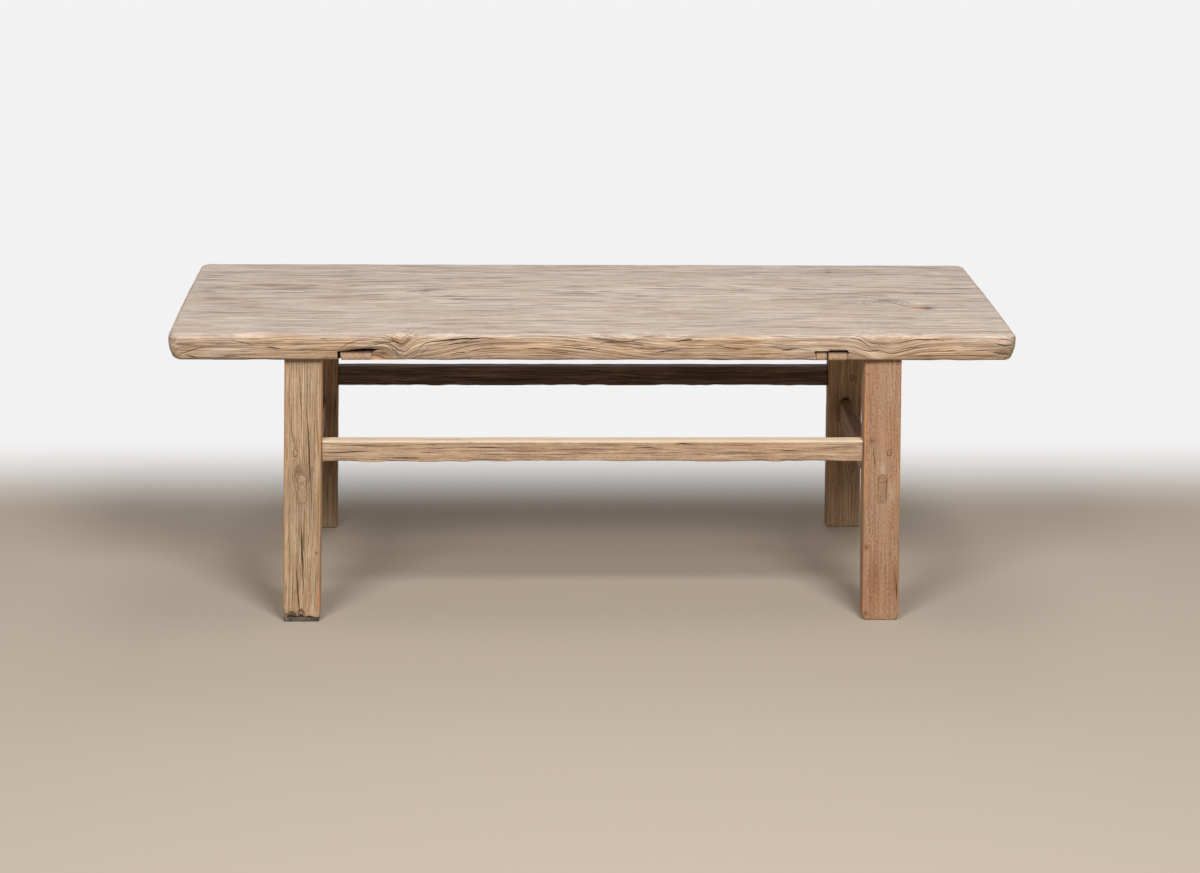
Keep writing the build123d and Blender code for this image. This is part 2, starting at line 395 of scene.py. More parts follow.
# ---------------------------------------------------------------- meshes
def put_in_scene(name, data):
    made = bpy.data.objects.new(name, data)
    bpy.context.scene.collection.objects.link(made)
    return made


def new_object(name, world, faces):
    mesh = bpy.data.meshes.new(name)
    mesh.from_pydata((world * MM).tolist(), [], faces if isinstance(faces, list) else faces.tolist())
    mesh.validate()
    made = put_in_scene(name, mesh)
    mark_crack(made, 0.0)
    return made


def points_of(mesh):
    flat = np.empty(len(mesh.vertices) * 3, np.float32)
    mesh.vertices.foreach_get("co", flat)
    return flat.reshape(-1, 3).astype(float) / MM


def loft(rings):
    """Points and faces of a closed solid through rings of points."""
    rings = np.asarray(rings, float)
    index = np.arange(rings.shape[0] * rings.shape[1]).reshape(rings.shape[:2])
    after = np.roll(index, -1, axis=1)
    sides = np.stack([index[:-1], after[:-1], after[1:], index[1:]], -1).reshape(-1, 4).tolist()
    faces = [index[0, ::-1].tolist(), index[-1].tolist()] + sides
    points = rings.reshape(-1, 3)
    middle = points.mean(axis=0)
    volume = 0.0
    for face in faces:
        spokes = points[face] - middle
        pairs = zip(spokes[1:], spokes[2:])
        volume += sum(np.dot(spokes[0], np.cross(first, second)) for first, second in pairs)
    return points, faces if volume > 0 else [face[::-1] for face in faces]


def prism(outline, plane, start, sweep):
    """A straight cutter: an outline in a plane of two table axes, swept along a vector."""
    ring = np.zeros((len(outline), 3))
    ring[:, plane] = outline
    ring = ring + start
    return new_object("cutter", *loft([ring, ring + sweep]))


def worn_bar(node, axes, timber, corner, arrises, steps, reshape=None, reshape_worn=None):
    """A node's bar: a slab that stands on its end, laid along U and worn as its timber says."""
    half = (timber.high[V], timber.high[W])
    points, normal, quads = slab(half, timber.low[U], timber.high[U], corner, arrises, steps)
    if reshape:
        reshape(points)
    turned, out = np.roll(points, 1, axis=1), np.roll(normal, 1, axis=1)
    local = turned - out * timber.relief(turned)[:, None]
    if reshape_worn:
        reshape_worn(local)
    return new_object(f"worn_{node}", axes.to_world(local), quads)


def mark_crack(piece, value):
    """Says of all a piece's faces whether they are the walls of a crack, 1, or not, 0; the wood paints such
    walls near black, as painted shade with some dirt.
    """
    made = piece.data.attributes.get("crack") or piece.data.attributes.new("crack", "FLOAT", "FACE")
    made.data.foreach_set("value", [value] * len(piece.data.polygons))


def split(piece, timber, axes):
    """Cuts a timber's cracks, in a few batches so that neighbours seldom meet in one cutter."""
    batches = 4
    solids = [loft(axes.to_world(rings.reshape(-1, 3)).reshape(rings.shape)) for rings in timber.blades()]
    cutters = []
    for first in range(min(batches, len(solids))):
        points, faces, count = [], [], 0
        for solid_points, solid_faces in solids[first::batches]:
            points.append(solid_points)
            faces += [[i + count for i in face] for face in solid_faces]
            count += len(solid_points)
        cutters.append(new_object("cutter", np.vstack(points), faces))
        mark_crack(cutters[-1], 1.0)
    joinery(piece, cutters)


def rectangle(width, height):
    x, y = width / 2, height / 2
    return [(-x, -y), (x, -y), (x, y), (-x, y)]


def round_ended(width, height):
    """An upright slot with round ends."""
    angles = np.linspace(0, math.pi, 9)
    radius, straight = width / 2, (height - width) / 2
    upper = [(radius * math.cos(a), straight + radius * math.sin(a)) for a in angles]
    return upper + [(-x, -y) for x, y in upper]


def mortise(shape, size):
    """The outline, in one of the two shapes, of a hole for something of a size, with its gap."""
    return shape(size[0] + 2 * joint_gap, size[1] + 2 * joint_gap)


def leg_top(side_x, side_y, outline, below, above):
    """A prism along a leg, from below its shoulder to above the end of its tenon."""
    lean = np.array([-side_x * lean_x, -side_y * lean_y, 1.0])
    shoulder = np.array([side_x * shoulder_x, side_y * shoulder_y, underside])
    reach = leg_high[2] - underside + (below + above)
    return prism(outline, PLAN, shoulder - below * lean, reach * lean)


def side_tenon(thickness, bottom, top, centre_x, y, run, profile):
    """The part of a side stretcher's round-ended tenon that lies within a profile, seen from the side."""
    outline, start = round_ended(thickness, top - bottom), (centre_x, y, (bottom + top) / 2)
    part = prism(outline, FRONT_VIEW, start, (0, run, 0))
    trim = prism(profile, SIDE_VIEW, (centre_x - leg_width, 0, 0), (2 * leg_width, 0, 0))
    joinery(part, [trim], "INTERSECT")
    return part


def joinery(piece, cutters, operation="DIFFERENCE"):
    """Cuts the cutters from a piece, or joins them to it, and removes them."""
    for cutter in cutters:
        modifier = piece.modifiers.new("joinery", "BOOLEAN")
        modifier.operation, modifier.solver, modifier.object = operation, "MANIFOLD", cutter
    settle(piece)
    for cutter in cutters:
        bpy.data.objects.remove(cutter)


def settle(piece):
    """Applies a piece's modifiers."""
    graph = bpy.context.evaluated_depsgraph_get()
    made = bpy.data.meshes.new_from_object(piece.evaluated_get(graph))
    piece.modifiers.clear()
    piece.data = made


def finish_piece(piece, node, axes, timber, material):
    """Gives a piece its attributes, material and shading, and puts it in its node's place."""
    mesh = piece.data
    local = axes.to_local(points_of(mesh))
    for name, values in timber.paint(local).items():
        kind, field = ("FLOAT_VECTOR", "vector") if values.ndim == 2 else ("FLOAT", "value")
        made = mesh.attributes.new(name, kind, "POINT")
        made.data.foreach_set(field, values.astype(np.float32).ravel())
    mesh.materials.clear()
    mesh.materials.append(material)
    mesh.polygons.foreach_set("use_smooth", [True] * len(mesh.polygons))
    mesh.set_sharp_from_angle(angle=sharp_angle)
    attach(piece, "root")
    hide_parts(node)


# ---------------------------------------------------------------- wood material
def add_node(tree, kind, inputs=(), **settings):
    node = tree.nodes.new("ShaderNode" + kind)
    for name, value in settings.items():
        setattr(node, name, value)
    for name, value in dict(inputs).items():
        if isinstance(value, bpy.types.NodeSocket):
            tree.links.new(value, node.inputs[name])
        else:
            node.inputs[name].default_value = value
    return node


def calc(tree, operation, *values, clamp=False):
    inputs = dict(enumerate(values))
    return add_node(tree, "Math", inputs, operation=operation, use_clamp=clamp).outputs[0]


def blend(tree, factor, first, second):
    inputs = {0: factor, 6: first, 7: second}
    return add_node(tree, "Mix", inputs, data_type="RGBA", clamp_factor=True).outputs[2]


def ramp(tree, value, stops):
    """Colours, given as 8-bit sRGB values, at their places along a value."""
    node = add_node(tree, "ValToRGB", {0: value})
    elements = node.color_ramp.elements
    while len(elements) < len(stops):
        elements.new(0.5)
    for element, (position, colour) in zip(elements, stops):
        element.position, element.color = position, linear(*colour)
    return node.outputs[0]


def linear(red, green, blue):
    """A colour given as 8-bit sRGB values, as the linear one that nodes use."""
    def one(value):
        value /= 255
        return value / 12.92 if value <= 0.04045 else ((value + 0.055) / 1.055) ** 2.4
    return (one(red), one(green), one(blue), 1.0)


def streaks(tree, grain, along, across, detail, offset):
    """Noise drawn out along the grain, sizes in millimetres along and across it."""
    inputs = {0: grain, 1: (1 / along, 1 / across, 1 / across), 2: (offset, 2.3 * offset, 4.1 * offset)}
    moved = add_node(tree, "VectorMath", inputs, operation="MULTIPLY_ADD").outputs[0]
    inputs = {"Vector": moved, "Scale": 1.0, "Detail": detail, "Roughness": 0.6}
    return add_node(tree, "TexNoise", inputs).outputs[0]


def weighted(tree, parts):
    """The sum of some values, each times its share."""
    total = 0.0
    for value, share in parts:
        total = calc(tree, "MULTIPLY_ADD", value, share, total)
    return total


def between(tree, value, low, high):
    """0 below low and 1 above high, or the other way round where low is the greater."""
    inputs = {"Value": value, 1: low, 2: high}
    return add_node(tree, "MapRange", inputs, interpolation_type="SMOOTHSTEP").outputs[0]


def threads(tree, ring, turns, sway, mask, start=0.72):
    """Thin lines along the grain, one each time that ring times turns comes round.

    sway bends them, mask breaks them up, and a lower start widens them.
    """
    phase = calc(tree, "SINE", calc(tree, "MULTIPLY_ADD", ring, turns, sway))
    return calc(tree, "MULTIPLY", between(tree, phase, start, 0.97), mask)


def new_material(name):
    material = bpy.data.materials.new(name)
    material.use_nodes = True
    material.node_tree.nodes.clear()
    return material, material.node_tree


def wood(name, plain, aged, fresh, dirt_and_shade, lines=0.7, spread=0.1, mottle=0.15):
    """Old elm, its colours given as 8-bit sRGB values.

    plain and aged hold its dark, middle and pale colours, before and after weathering. lines is
    how dark its furrows are, a greater spread brings its streaks' tones closer, and mottle is
    how dark its speckles are.
    """
    material, tree = new_material(name)
    read = {
        field: add_node(tree, "Attribute", attribute_name=field).outputs
        for field in ("grain", "ring", "crack", "stain", "broken", "knot", "weather", "fresh", "end")
    }
    grain, ring, weather, knot = (
        read["grain"]["Vector"], read["ring"]["Fac"], read["weather"]["Fac"], read["knot"]["Fac"],
    )

    def product(first, second, clamp=False):
        return calc(tree, "MULTIPLY", first, second, clamp=clamp)

    def patches(low, high, *streak):
        """0 where a streaky noise is below low, and 1 where it is above high."""
        return between(tree, streaks(tree, grain, *streak), low, high)

    broad = streaks(tree, grain, 320, 15, 1, 3.1)
    line = streaks(tree, grain, 200, 4.2, 1, 7.7)
    fibre = streaks(tree, grain, 120, 1.8, 1, 1.9)
    hair = streaks(tree, grain, 50, 0.8, 1, 6.2)
    vein = streaks(tree, grain, 170, 7, 0, 33.1)
    region = streaks(tree, grain, 120, 38, 2, 9.4)
    growth = calc(tree, "SINE", weighted(tree, [(ring, 2.7), (broad, 9.0), (line, 4.0)]))
    tone = weighted(tree, [(broad, 0.06), (line, 0.18), (fibre, 0.46), (hair, 0.3), (growth, 0.012)])

    stops = (0.5 - spread, 0.5, 0.5 + spread)
    young, old = (ramp(tree, tone, list(zip(stops, colours))) for colours in (plain, aged))
    weathered = calc(tree, "ADD", weather, calc(tree, "MULTIPLY_ADD", region, 1.6, -0.8), clamp=True)
    colour = blend(tree, weathered, young, old)

    greyed = patches(0.4, 0.65, 260, 70, 1, 11.8)
    smudge = product(patches(0.55, 0.75, 95, 5, 3, 15.2), product(weather, greyed))
    speckle = patches(0.46, 0.7, 4, 2.4, 3, 21.7)
    pore = patches(0.58, 0.72, 15, 0.65, 1, 5.3)

    sway = weighted(tree, [(broad, 16.0), (line, 5.0)])
    wide = threads(tree, ring, 1.5, sway, patches(0.46, 0.56, 90, 10, 1, 2.7))
    close = threads(tree, ring, 2.9, sway, patches(0.48, 0.56, 60, 7, 1, 8.9))
    dashes = product(patches(0.47, 0.58, 150, 13, 1, 27.4), weather)
    dashes = product(threads(tree, vein, 10.0, sway, dashes, 0.6), 0.5)
    furrow = calc(tree, "MAXIMUM", calc(tree, "MAXIMUM", wide, close), dashes)

    waves = calc(tree, "SINE", weighted(tree, [(knot, 26.0), (line, 9.0)]))
    ringed = calc(tree, "MULTIPLY_ADD", waves, 0.22, 0.3)
    stain = read["stain"]["Fac"]
    layers = [
        (product(smudge, 0.22), GREY),
        (product(speckle, mottle), dirt_and_shade),
        (product(pore, 0.4), dirt_and_shade),
        (product(furrow, lines), dirt_and_shade),
        (product(ringed, calc(tree, "POWER", knot, 0.7), clamp=True), dirt_and_shade),
        (product(calc(tree, "MULTIPLY_ADD", growth, 0.08, 0.1), read["end"]["Fac"]), dirt_and_shade),
        (read["fresh"]["Fac"], fresh),
        # Stains darken towards the dirt colour, and some of them are painted shade in hollows, gaps and under
        # edges. Negative ones pale towards the last aged colour, and one of them is a painted highlight.
        (calc(tree, "MAXIMUM", stain, 0.0, clamp=True), dirt_and_shade),
        (product(stain, -1.0, clamp=True), aged[-1]),
        (read["broken"]["Fac"], SPLINTER),
        # Crack walls painted near black: painted shade, with some dirt in the cracks
        (read["crack"]["Fac"], CRACK_WALL_SHADE),
    ]
    for share, tint in layers:
        colour = blend(tree, share, colour, linear(*tint))

    height = weighted(tree, [
        (hair, 0.3), (fibre, 0.7), (line, 0.6), (growth, 0.03), (pore, -0.2), (furrow, -0.4),
    ])
    raised = add_node(tree, "Bump", {"Height": height, "Distance": 0.001, "Strength": 0.6})
    rough = add_node(tree, "MapRange", {"Value": tone, 1: 0.35, 2: 0.65, 3: 0.78, 4: 0.62})
    shader = add_node(tree, "BsdfPrincipled", {
        "Base Color": colour, "Roughness": rough.outputs[0], "Normal": raised.outputs[0],
        "Specular IOR Level": 0.3,
    })
    add_node(tree, "OutputMaterial", {"Surface": shader.outputs[0]})
    return material


GREY, DIRT_AND_SHADE, ORANGE = (146, 134, 124), (74, 52, 36), (196, 138, 86)
# The crack colour paints the walls of cracks and deep hollows: painted shade, with some dirt
SPLINTER, CRACK_WALL_SHADE = (224, 160, 98), (50, 32, 20)

elm_top = wood(
    "elm_top",
    [(132, 100, 70), (182, 150, 118), (212, 184, 154)],
    [(166, 148, 134), (200, 182, 167), (222, 205, 190)],
    (208, 176, 144), DIRT_AND_SHADE, lines=0.64, spread=0.125, mottle=0.08,
)
elm_batten = wood(
    "elm_batten",
    [(158, 122, 90), (194, 160, 126), (212, 182, 148)],
    [(162, 134, 108), (196, 168, 140), (212, 188, 162)],
    ORANGE, DIRT_AND_SHADE, lines=0.4, spread=0.14, mottle=0.1,
)
elm_leg = wood(
    "elm_leg",
    [(148, 114, 82), (182, 148, 114), (202, 171, 137)],
    [(156, 130, 104), (186, 160, 131), (203, 180, 152)],
    ORANGE, DIRT_AND_SHADE, lines=0.55, spread=0.13, mottle=0.2,
)
elm_leg_red = wood(
    "elm_leg_red",
    [(144, 101, 72), (169, 125, 91), (188, 147, 113)],
    [(146, 119, 96), (168, 142, 117), (186, 161, 136)],
    (194, 136, 88), (118, 74, 54), lines=0.2, spread=0.22, mottle=0.65,
)
elm_rail = wood(
    "elm_rail",
    [(152, 115, 86), (186, 153, 123), (207, 178, 147)],
    # Its palest aged colour also gives the painted highlight on the front stretcher's top
    [(158, 130, 106), (190, 162, 136), (226, 205, 177)],
    (206, 164, 122), DIRT_AND_SHADE, lines=0.5, spread=0.17, mottle=0.2,
)
# A darker copy of the rail wood for the back stretcher, which sits in the shade of the top: mostly painted
# shade, partly dirt
elm_rail_shaded = wood(
    "elm_rail_shaded",
    [(62, 44, 32), (98, 74, 56), (128, 102, 82)],
    [(80, 66, 54), (112, 94, 80), (150, 132, 116)],
    (120, 92, 70), (40, 28, 20),
)
elm_peg = wood(
    "elm_peg",
    [(148, 114, 82), (182, 148, 114), (204, 174, 140)],
    [(158, 134, 108), (190, 166, 138), (206, 184, 158)],
    ORANGE, DIRT_AND_SHADE, lines=0.4,
)


# ---------------------------------------------------------------- plank top
FRONT, BACK, TOP, UNDER = (V, -1), (V, 1), (W, 1), (W, -1)


def checks(face, count, seed, along, across, climb=None, wide=1.2):
    """Short fine cracks along the grain, strewn over a face by a fixed draw."""
    draw = np.random.default_rng(seed)
    made = []
    for _ in range(count):
        length = draw.uniform(14, 60)
        x = draw.uniform(along[0], along[1] - length) + length * np.linspace(0, 1, 5)
        level = draw.uniform(*across) + draw.uniform(-0.6, 0.6, 5)
        if climb:
            level = level + climb(x) - climb(x).mean()
        width, depth = draw.uniform(0.7, 1.3) * wide, draw.uniform(0.8, 2.0)
        made.append(Crack(face, list(zip(x, level)), width, depth))
    return made


def cracks_on(face, rows):
    """Cracks of a face, from rows of their route, width and depth."""
    return [Crack(face, *row) for row in rows]


def edge_climb(x):
    """How far the grain climbs along the front edge, past its burr and its knot."""
    burr, knot = -271, 400
    climb = 19 * ease(x, -265, -140) * (1 - ease(x, -90, 120))
    dip = np.where(x < knot, bell(x - knot, 28), bell(x - knot, 45))
    return climb - 14 * bell(x - burr, 13) - 15 * dip


def edge_rise(local):
    return edge_climb(local[:, U]) * bell(local[:, V] + top_width / 2, 16)


def top_weather(local):
    """Grey on the open upper face, warm below its worn front arris."""
    wander = 1.4 * noise(local, (45, 14, 14), 701, 2)
    return 0.12 + 0.88 * ease(local[:, W] + wander, table_height - 6.0, table_height - 0.8)


front_cracks = [
    ([(-588, 395), (-572, 396.5), (-553, 403), (-536, 405)], 1.6, 1.8),
    ([(-571, 393.5), (-552, 389)], 2.0, 2.0),
    ([(-510, 415.5), (-487, 410), (-470, 408)], 1.6, 1.4),
    ([(-460, 405), (-436, 402.5)], 2.5, 2.2),
    ([(-424, 401), (-402, 400.8)], 1.7, 1.4),
    ([(-385, 417), (-372, 416)], 1.9, 1.5),
    ([(-359, 399), (-347, 409), (-331, 414.5), (-306, 415.5)], 1.7, 2.0),
    ([(-318, 406), (-293, 411), (-270, 412)], 1.6, 1.5),
    ([(-285, 417), (-280, 412), (-270, 410.5)], 2.5, 2.5),
    (
        [(-250, 398), (-245, 403), (-240, 408.3), (-229, 412), (-210, 414.6), (-178, 417.2), (-130, 418)],
        2.6, 5.0,
    ),
    ([(-298, 407), (-281, 401), (-274, 394), (-266, 391), (-257, 395), (-249, 402)], 1.6, 1.4),
    ([(-291, 413), (-280, 406), (-271, 399.5), (-263, 398), (-256, 403)], 1.6, 1.4),
    ([(-287, 403), (-278, 396), (-268, 387.5)], 1.4, 1.2),
    ([(-247, 391), (-239, 399), (-228, 405.5)], 1.4, 1.2),
    ([(-218, 406.5), (-196, 409.8), (-158, 414)], 2.0, 1.8),
    ([(-203, 392.5), (-193, 397), (-176, 397.6)], 1.6, 1.2),
    ([(-96, 403), (-73, 403.2)], 1.6, 1.2),
    ([(-50, 407), (-8, 407.8)], 1.4, 1.0),
    ([(-14, 402.6), (8, 402.6)], 1.6, 1.2),
    ([(0, 408.8), (27, 413), (47, 413), (69, 416.5)], 2.0, 1.8),
    ([(106, 414.3), (116, 413.4), (140, 417.8)], 2.0, 1.8),
    ([(34, 402), (106, 404.3)], 1.6, 1.2),
    ([(82, 397.2), (106, 400.4), (123, 402.3)], 2.2, 1.8),
    ([(154, 405.6), (176, 406.8), (202, 403.2)], 1.6, 1.4),
    ([(244, 405.2), (266, 402.2), (280, 403.2), (306, 400.2)], 2.0, 1.8),
    ([(352, 419), (369, 416.7), (380, 410.5), (390, 401)], 1.9, 1.6),
    ([(417, 410.5), (433, 413.1), (452, 416.7), (481, 415.9), (497, 414)], 2.0, 2.0),
    ([(431, 392.4), (464, 392.7), (490, 393.4)], 1.9, 1.5),
    ([(425, 400.5), (439, 404.3), (466, 406)], 1.6, 1.2),
    ([(560, 411.5), (576, 408), (594, 407)], 2.3, 2.5),
    ([(566, 418), (584, 416.5)], 1.9, 1.6),
    ([(558, 398.6), (577, 395), (590, 396)], 2.2, 2.0),
]
top_cracks = [
    ([(-414, -134), (-380, -135.5), (-306, -134.6)], 2.3, 2.5),
    ([(-60, 18.4), (24, 19)], 2.2, 2.2),
    ([(-271, -217), (-264, -208.6), (-258, -200)], 2.2, 1.5),
    ([(-266, -198), (-259, -192), (-252, -187)], 2.0, 1.5),
    ([(-253, -196), (-244, -190.5), (-236, -187), (-228, -180)], 2.2, 1.5),
    ([(-590, -96), (-520, -95)], 2.0, 1.6),
    ([(-596, 38), (-548, 37)], 2.0, 1.6),
    ([(-592, 112), (-534, 114)], 2.0, 1.4),
    ([(560, -128), (596, -130)], 2.2, 1.8),
    ([(540, 64), (597, 66)], 2.2, 1.8),
    ([(407, -44), (414, -30), (435, -15), (459, -17), (472, -38)], 2.4, 1.2),
    ([(430, -31), (446, -34), (462, -52), (480, -60)], 2.4, 1.4),
    ([(466, -60), (486, -66), (499, -68)], 3.0, 1.6),
]
half_length, half_width = top_length / 2, top_width / 2
edge_levels, face_levels = (underside + 5, table_height - 4), (20 - half_width, half_width - 8)
top_timber = Timber(
    11, (-half_length, -half_width, underside), (half_length, half_width, table_height),
    pith=(40, table_height + 160),
    cracks=cracks_on(FRONT, front_cracks)
    + cracks_on(TOP, top_cracks)
    + checks(FRONT, 46, 5, (-585, 585), edge_levels, edge_climb)
    + checks(BACK, 30, 6, (-580, 580), edge_levels)
    + checks(TOP, 60, 7, (-585, 585), face_levels),
    knots=[Knot(FRONT, 399, 408, 13, 7), Knot(TOP, 437, -32, 36, 15)],
    dents=[
        Dent((-123, 231, 424), (13, 7, 6), 4.0),
        Dent((-600, -66, 423), (9, 14, 9), 2.5),
        Dent((601, 62, 423), (8, 16, 10), 2.5),
        Dent((-122, -231, 420), (10, 4, 2.4), 1.4),
        Dent((-281, -231, 413), (9, 5, 3.5), 1.8),
        Dent((-372, -231, 386), (11, 4, 8), 1.2),
    ],
    stains=[
        Spot((490, -65, 423), (10, 9, 6), 1.0),
        Spot((375, 172, 423), (4, 5, 6), 0.8),
        Spot((437, -20, 423), (26, 16, 6), 0.35),
        Spot((-560, 60, 423), (30, 12, 6), 0.3),
        Spot((-548, -12, 423), (26, 9, 6), 0.35),
        Spot((-505, -60, 423), (38, 8, 6), 0.25),
        # Dark inside the hollow over the left batten: painted shade
        Spot((-333, -220, 401), (24, 14, 4.5), 0.9),
        Spot((-296, -230, 396), (12, 6, 5), 0.6),
        # Dark over the gaps at the ends of the right batten and its key: painted shade
        Spot((332, -218, 399), (24, 8, 2.5), 0.9),
        Spot((585, -230, 404), (12, 8, 12), 0.35),
        Spot((420, -half_width, 404), (230, 20, 15), -0.13),
        # Darker along the lower front edge and the underside next to it: painted shade, partly dirt
        Spot((0, -half_width, underside - 1), (4000, 30, 12), 0.4),
    ],
    breaks=[Spot((-302, -227, 387), (11, 8, 4.5), 1.0), Spot((476, -62, 423), (15, 8, 5), 0.45)],
    rise=edge_rise, smooth_faces=(TOP, UNDER), wave=1.1, ridge=1.3, arris_wear=even(1.6),
    weather=top_weather, fresh=0.25, rub_reach=7,
)


def bow(world):
    """The sawn ends swell outward to the middle of the width."""
    share = world[:, 0] / (top_length / 2 - end_bow)
    swell = 1 - (2 * world[:, 1] / top_width) ** 2
    return level_shift(end_bow * share * swell, 0.0)


def under_round(points):
    """Rounds the lower half of the two ends further, as years of knocks have."""
    height, depth = 24, 7
    high = np.clip((points[:, 2] - underside) / height, 0, 1)
    inset = depth * (1 - high) ** 2 * ease(np.abs(points[:, 0]), half_length - 40, half_length - end_bow)
    return level_shift(-np.sign(points[:, 0]) * inset, 0.0)


def front_gap(outline, depth):
    """The cutter of a hollow in the front edge; where it is deep, its walls are painted near black as shade.
    """
    cutter = prism(outline, FRONT_VIEW, (0, -half_width - 2, 0), (0, depth + 2, 0))
    mark_crack(cutter, 1.0 if depth > 5 else 0.0)
    return cutter


def front_gaps():
    """The hollows where the battens' ends have shrunk away and the edge has broken."""
    return [
        front_gap([
            (-358.8, 384), (-359.3, 398.6), (-348, 399.7), (-334, 401.2), (-323, 402.2), (-314, 402.6),
            (-306, 402.0), (-299, 401.0), (-306, 399.8), (-309.6, 398.4), (-310.6, 396), (-312.7, 384),
        ], 13),
        front_gap([
            (-345, 399.8), (-334, 401.8), (-323, 403.6), (-314.8, 404.7), (-305, 404.4), (-296, 403.2),
            (-299, 400.4), (-310, 400),
        ], 3),
        front_gap([(-312, 383), (-310, 394.5), (-303, 393), (-294, 390), (-289, 383)], 3),
        front_gap([(309.3, 395), (308.8, 399.6), (327.6, 399.8), (327.6, 395)], 14),
        front_gap([(326.6, 395), (327.4, 399.6), (330, 401.4), (354.6, 401), (357.6, 398), (356.2, 395)], 14),
    ]


def build_top():
    points, normal, quads = slab(
        (half_length - end_bow, half_width), underside, table_height,
        corner=top_corner_radius, arrises=(under_edge_radius, worn_arris_radius),
        steps=(3.0, 5.2, 0.9), extra=((), np.linspace(12, 26, 6) - half_width),
    )
    axes = Axes(ALONG_X, shift=bow)
    timber = top_timber
    local = points - normal * timber.relief(points)[:, None] + under_round(points)
    piece = new_object("worn_top_board", axes.to_world(local), quads)

    # The underside and the back edge, which hardly show, get fewer triangles
    skin, side_margin, top_margin, end_margin, share_kept = 0.1, 14, 9, 22, 0.66
    hidden = piece.vertex_groups.new(name="hidden")
    inner = (points[:, 2] < underside + skin) & (np.abs(points[:, 1]) < half_width - side_margin)
    inner |= (points[:, 1] > half_width - skin) & (points[:, 2] < table_height - top_margin)
    inner &= np.abs(points[:, 0]) < half_length - end_margin
    hidden.add(np.flatnonzero(inner).tolist(), 1.0, "REPLACE")
    thinned = piece.modifiers.new("thin_hidden_faces", "DECIMATE")
    thinned.vertex_group, thinned.ratio = hidden.name, share_kept
    settle(piece)
    piece.vertex_groups.clear()

    cutters = []
    for low, high in (span("left_batten"), (span("right_batten_key")[0], span("right_batten")[1])):
        tightness, below = 0.15, 1.5
        middle, half = (low[0] + high[0]) / 2, (high[0] - low[0]) / 2 - tightness
        depth = high[2] - low[2] + joint_gap
        mouth = half - depth * dovetail_slope + below * dovetail_slope
        outline = [
            (middle - mouth, -below), (middle + mouth, -below),
            (middle + half, depth), (middle - half, depth),
        ]
        cutters.append(prism(outline, FRONT_VIEW, (0, -top_width, underside), (0, 2 * top_width, 0)))
    blind = mortise(rectangle, leg_tenon)
    cutters += [leg_top(*sides, blind, below=3, above=1) for sides in corners.values()]
    joinery(piece, cutters + front_gaps())
    split(piece, timber, axes)
    finish_piece(piece, "top_board", axes, timber, elm_top)


build_top()


# ---------------------------------------------------------------- legs
OUTER_FRONT = (W, -1)


def leg_shift(side_x, side_y):
    """How a leg's centre line lies in the table, at each height."""
    def shift(world):
        rise = underside - world[:, 2]
        return level_shift(side_x * (shoulder_x + lean_x * rise), side_y * (shoulder_y + lean_y * rise))
    return shift


def build_leg(corner, material, slot, cracks=(), splits=9, **marks):
    side_x, side_y = corners[corner]
    foot = pad_top if corner == "front_left" else 0.0
    axes = Axes(ALONG_Z, shift=leg_shift(side_x, side_y))
    low, high = (foot, -leg_width / 2, -leg_depth / 2), (underside, leg_width / 2, leg_depth / 2)
    seed = 100 + 7 * list(corners).index(corner)
    cracks = cracks_on(OUTER_FRONT, cracks)
    for number, (axis, sign) in enumerate(itertools.product((V, W), (-1, 1))):
        across = (-12, 12) if axis == V else (-21, 21)
        cracks += checks((axis, sign), splits, seed + number, (12, 378), across, wide=0.65)
    timber = Timber(
        seed, low, high, pith=(50 + 9 * seed % 40, -70), cracks=cracks,
        wave=0.1, arris_wear=even(0.5), **marks,
    )
    piece = worn_bar(f"leg_{corner}", axes, timber, leg_edge_radius, (1.8, 0.3), (1.7, 1.7, 2.2))

    joinery(piece, [leg_top(side_x, side_y, rectangle(*leg_tenon), below=6, above=0)], "UNION")
    rail_z, side_z = (rail_low[2] + rail_high[2]) / 2, (side_low[2] + wedge_high[2]) / 2
    (rail_x, rail_y, _), (side_at_x, side_at_y, _) = axes.shift(np.array([[0, 0, rail_z], [0, 0, side_z]]))
    long_cut, peg_cut = mortise(rectangle, long_tenon), mortise(round_ended, peg_size)
    side_cut = mortise(round_ended, (side_tenon_thickness, side_tenon_height))
    far_x, far_y = (2 * leg_width, 0, 0), (0, 2 * leg_width, 0)
    joinery(piece, [
        prism(long_cut, SIDE_VIEW, (rail_x - leg_width, rail_y, rail_z), far_x),
        prism(side_cut, FRONT_VIEW, (side_at_x, side_at_y - leg_width, side_z), far_y),
        prism(peg_cut, FRONT_VIEW, (side_x * peg_centre[0], rail_y - leg_width, peg_centre[2]), far_y),
    ])
    split(piece, timber, axes)
    finish_piece(piece, f"leg_{corner}", axes, timber, material)


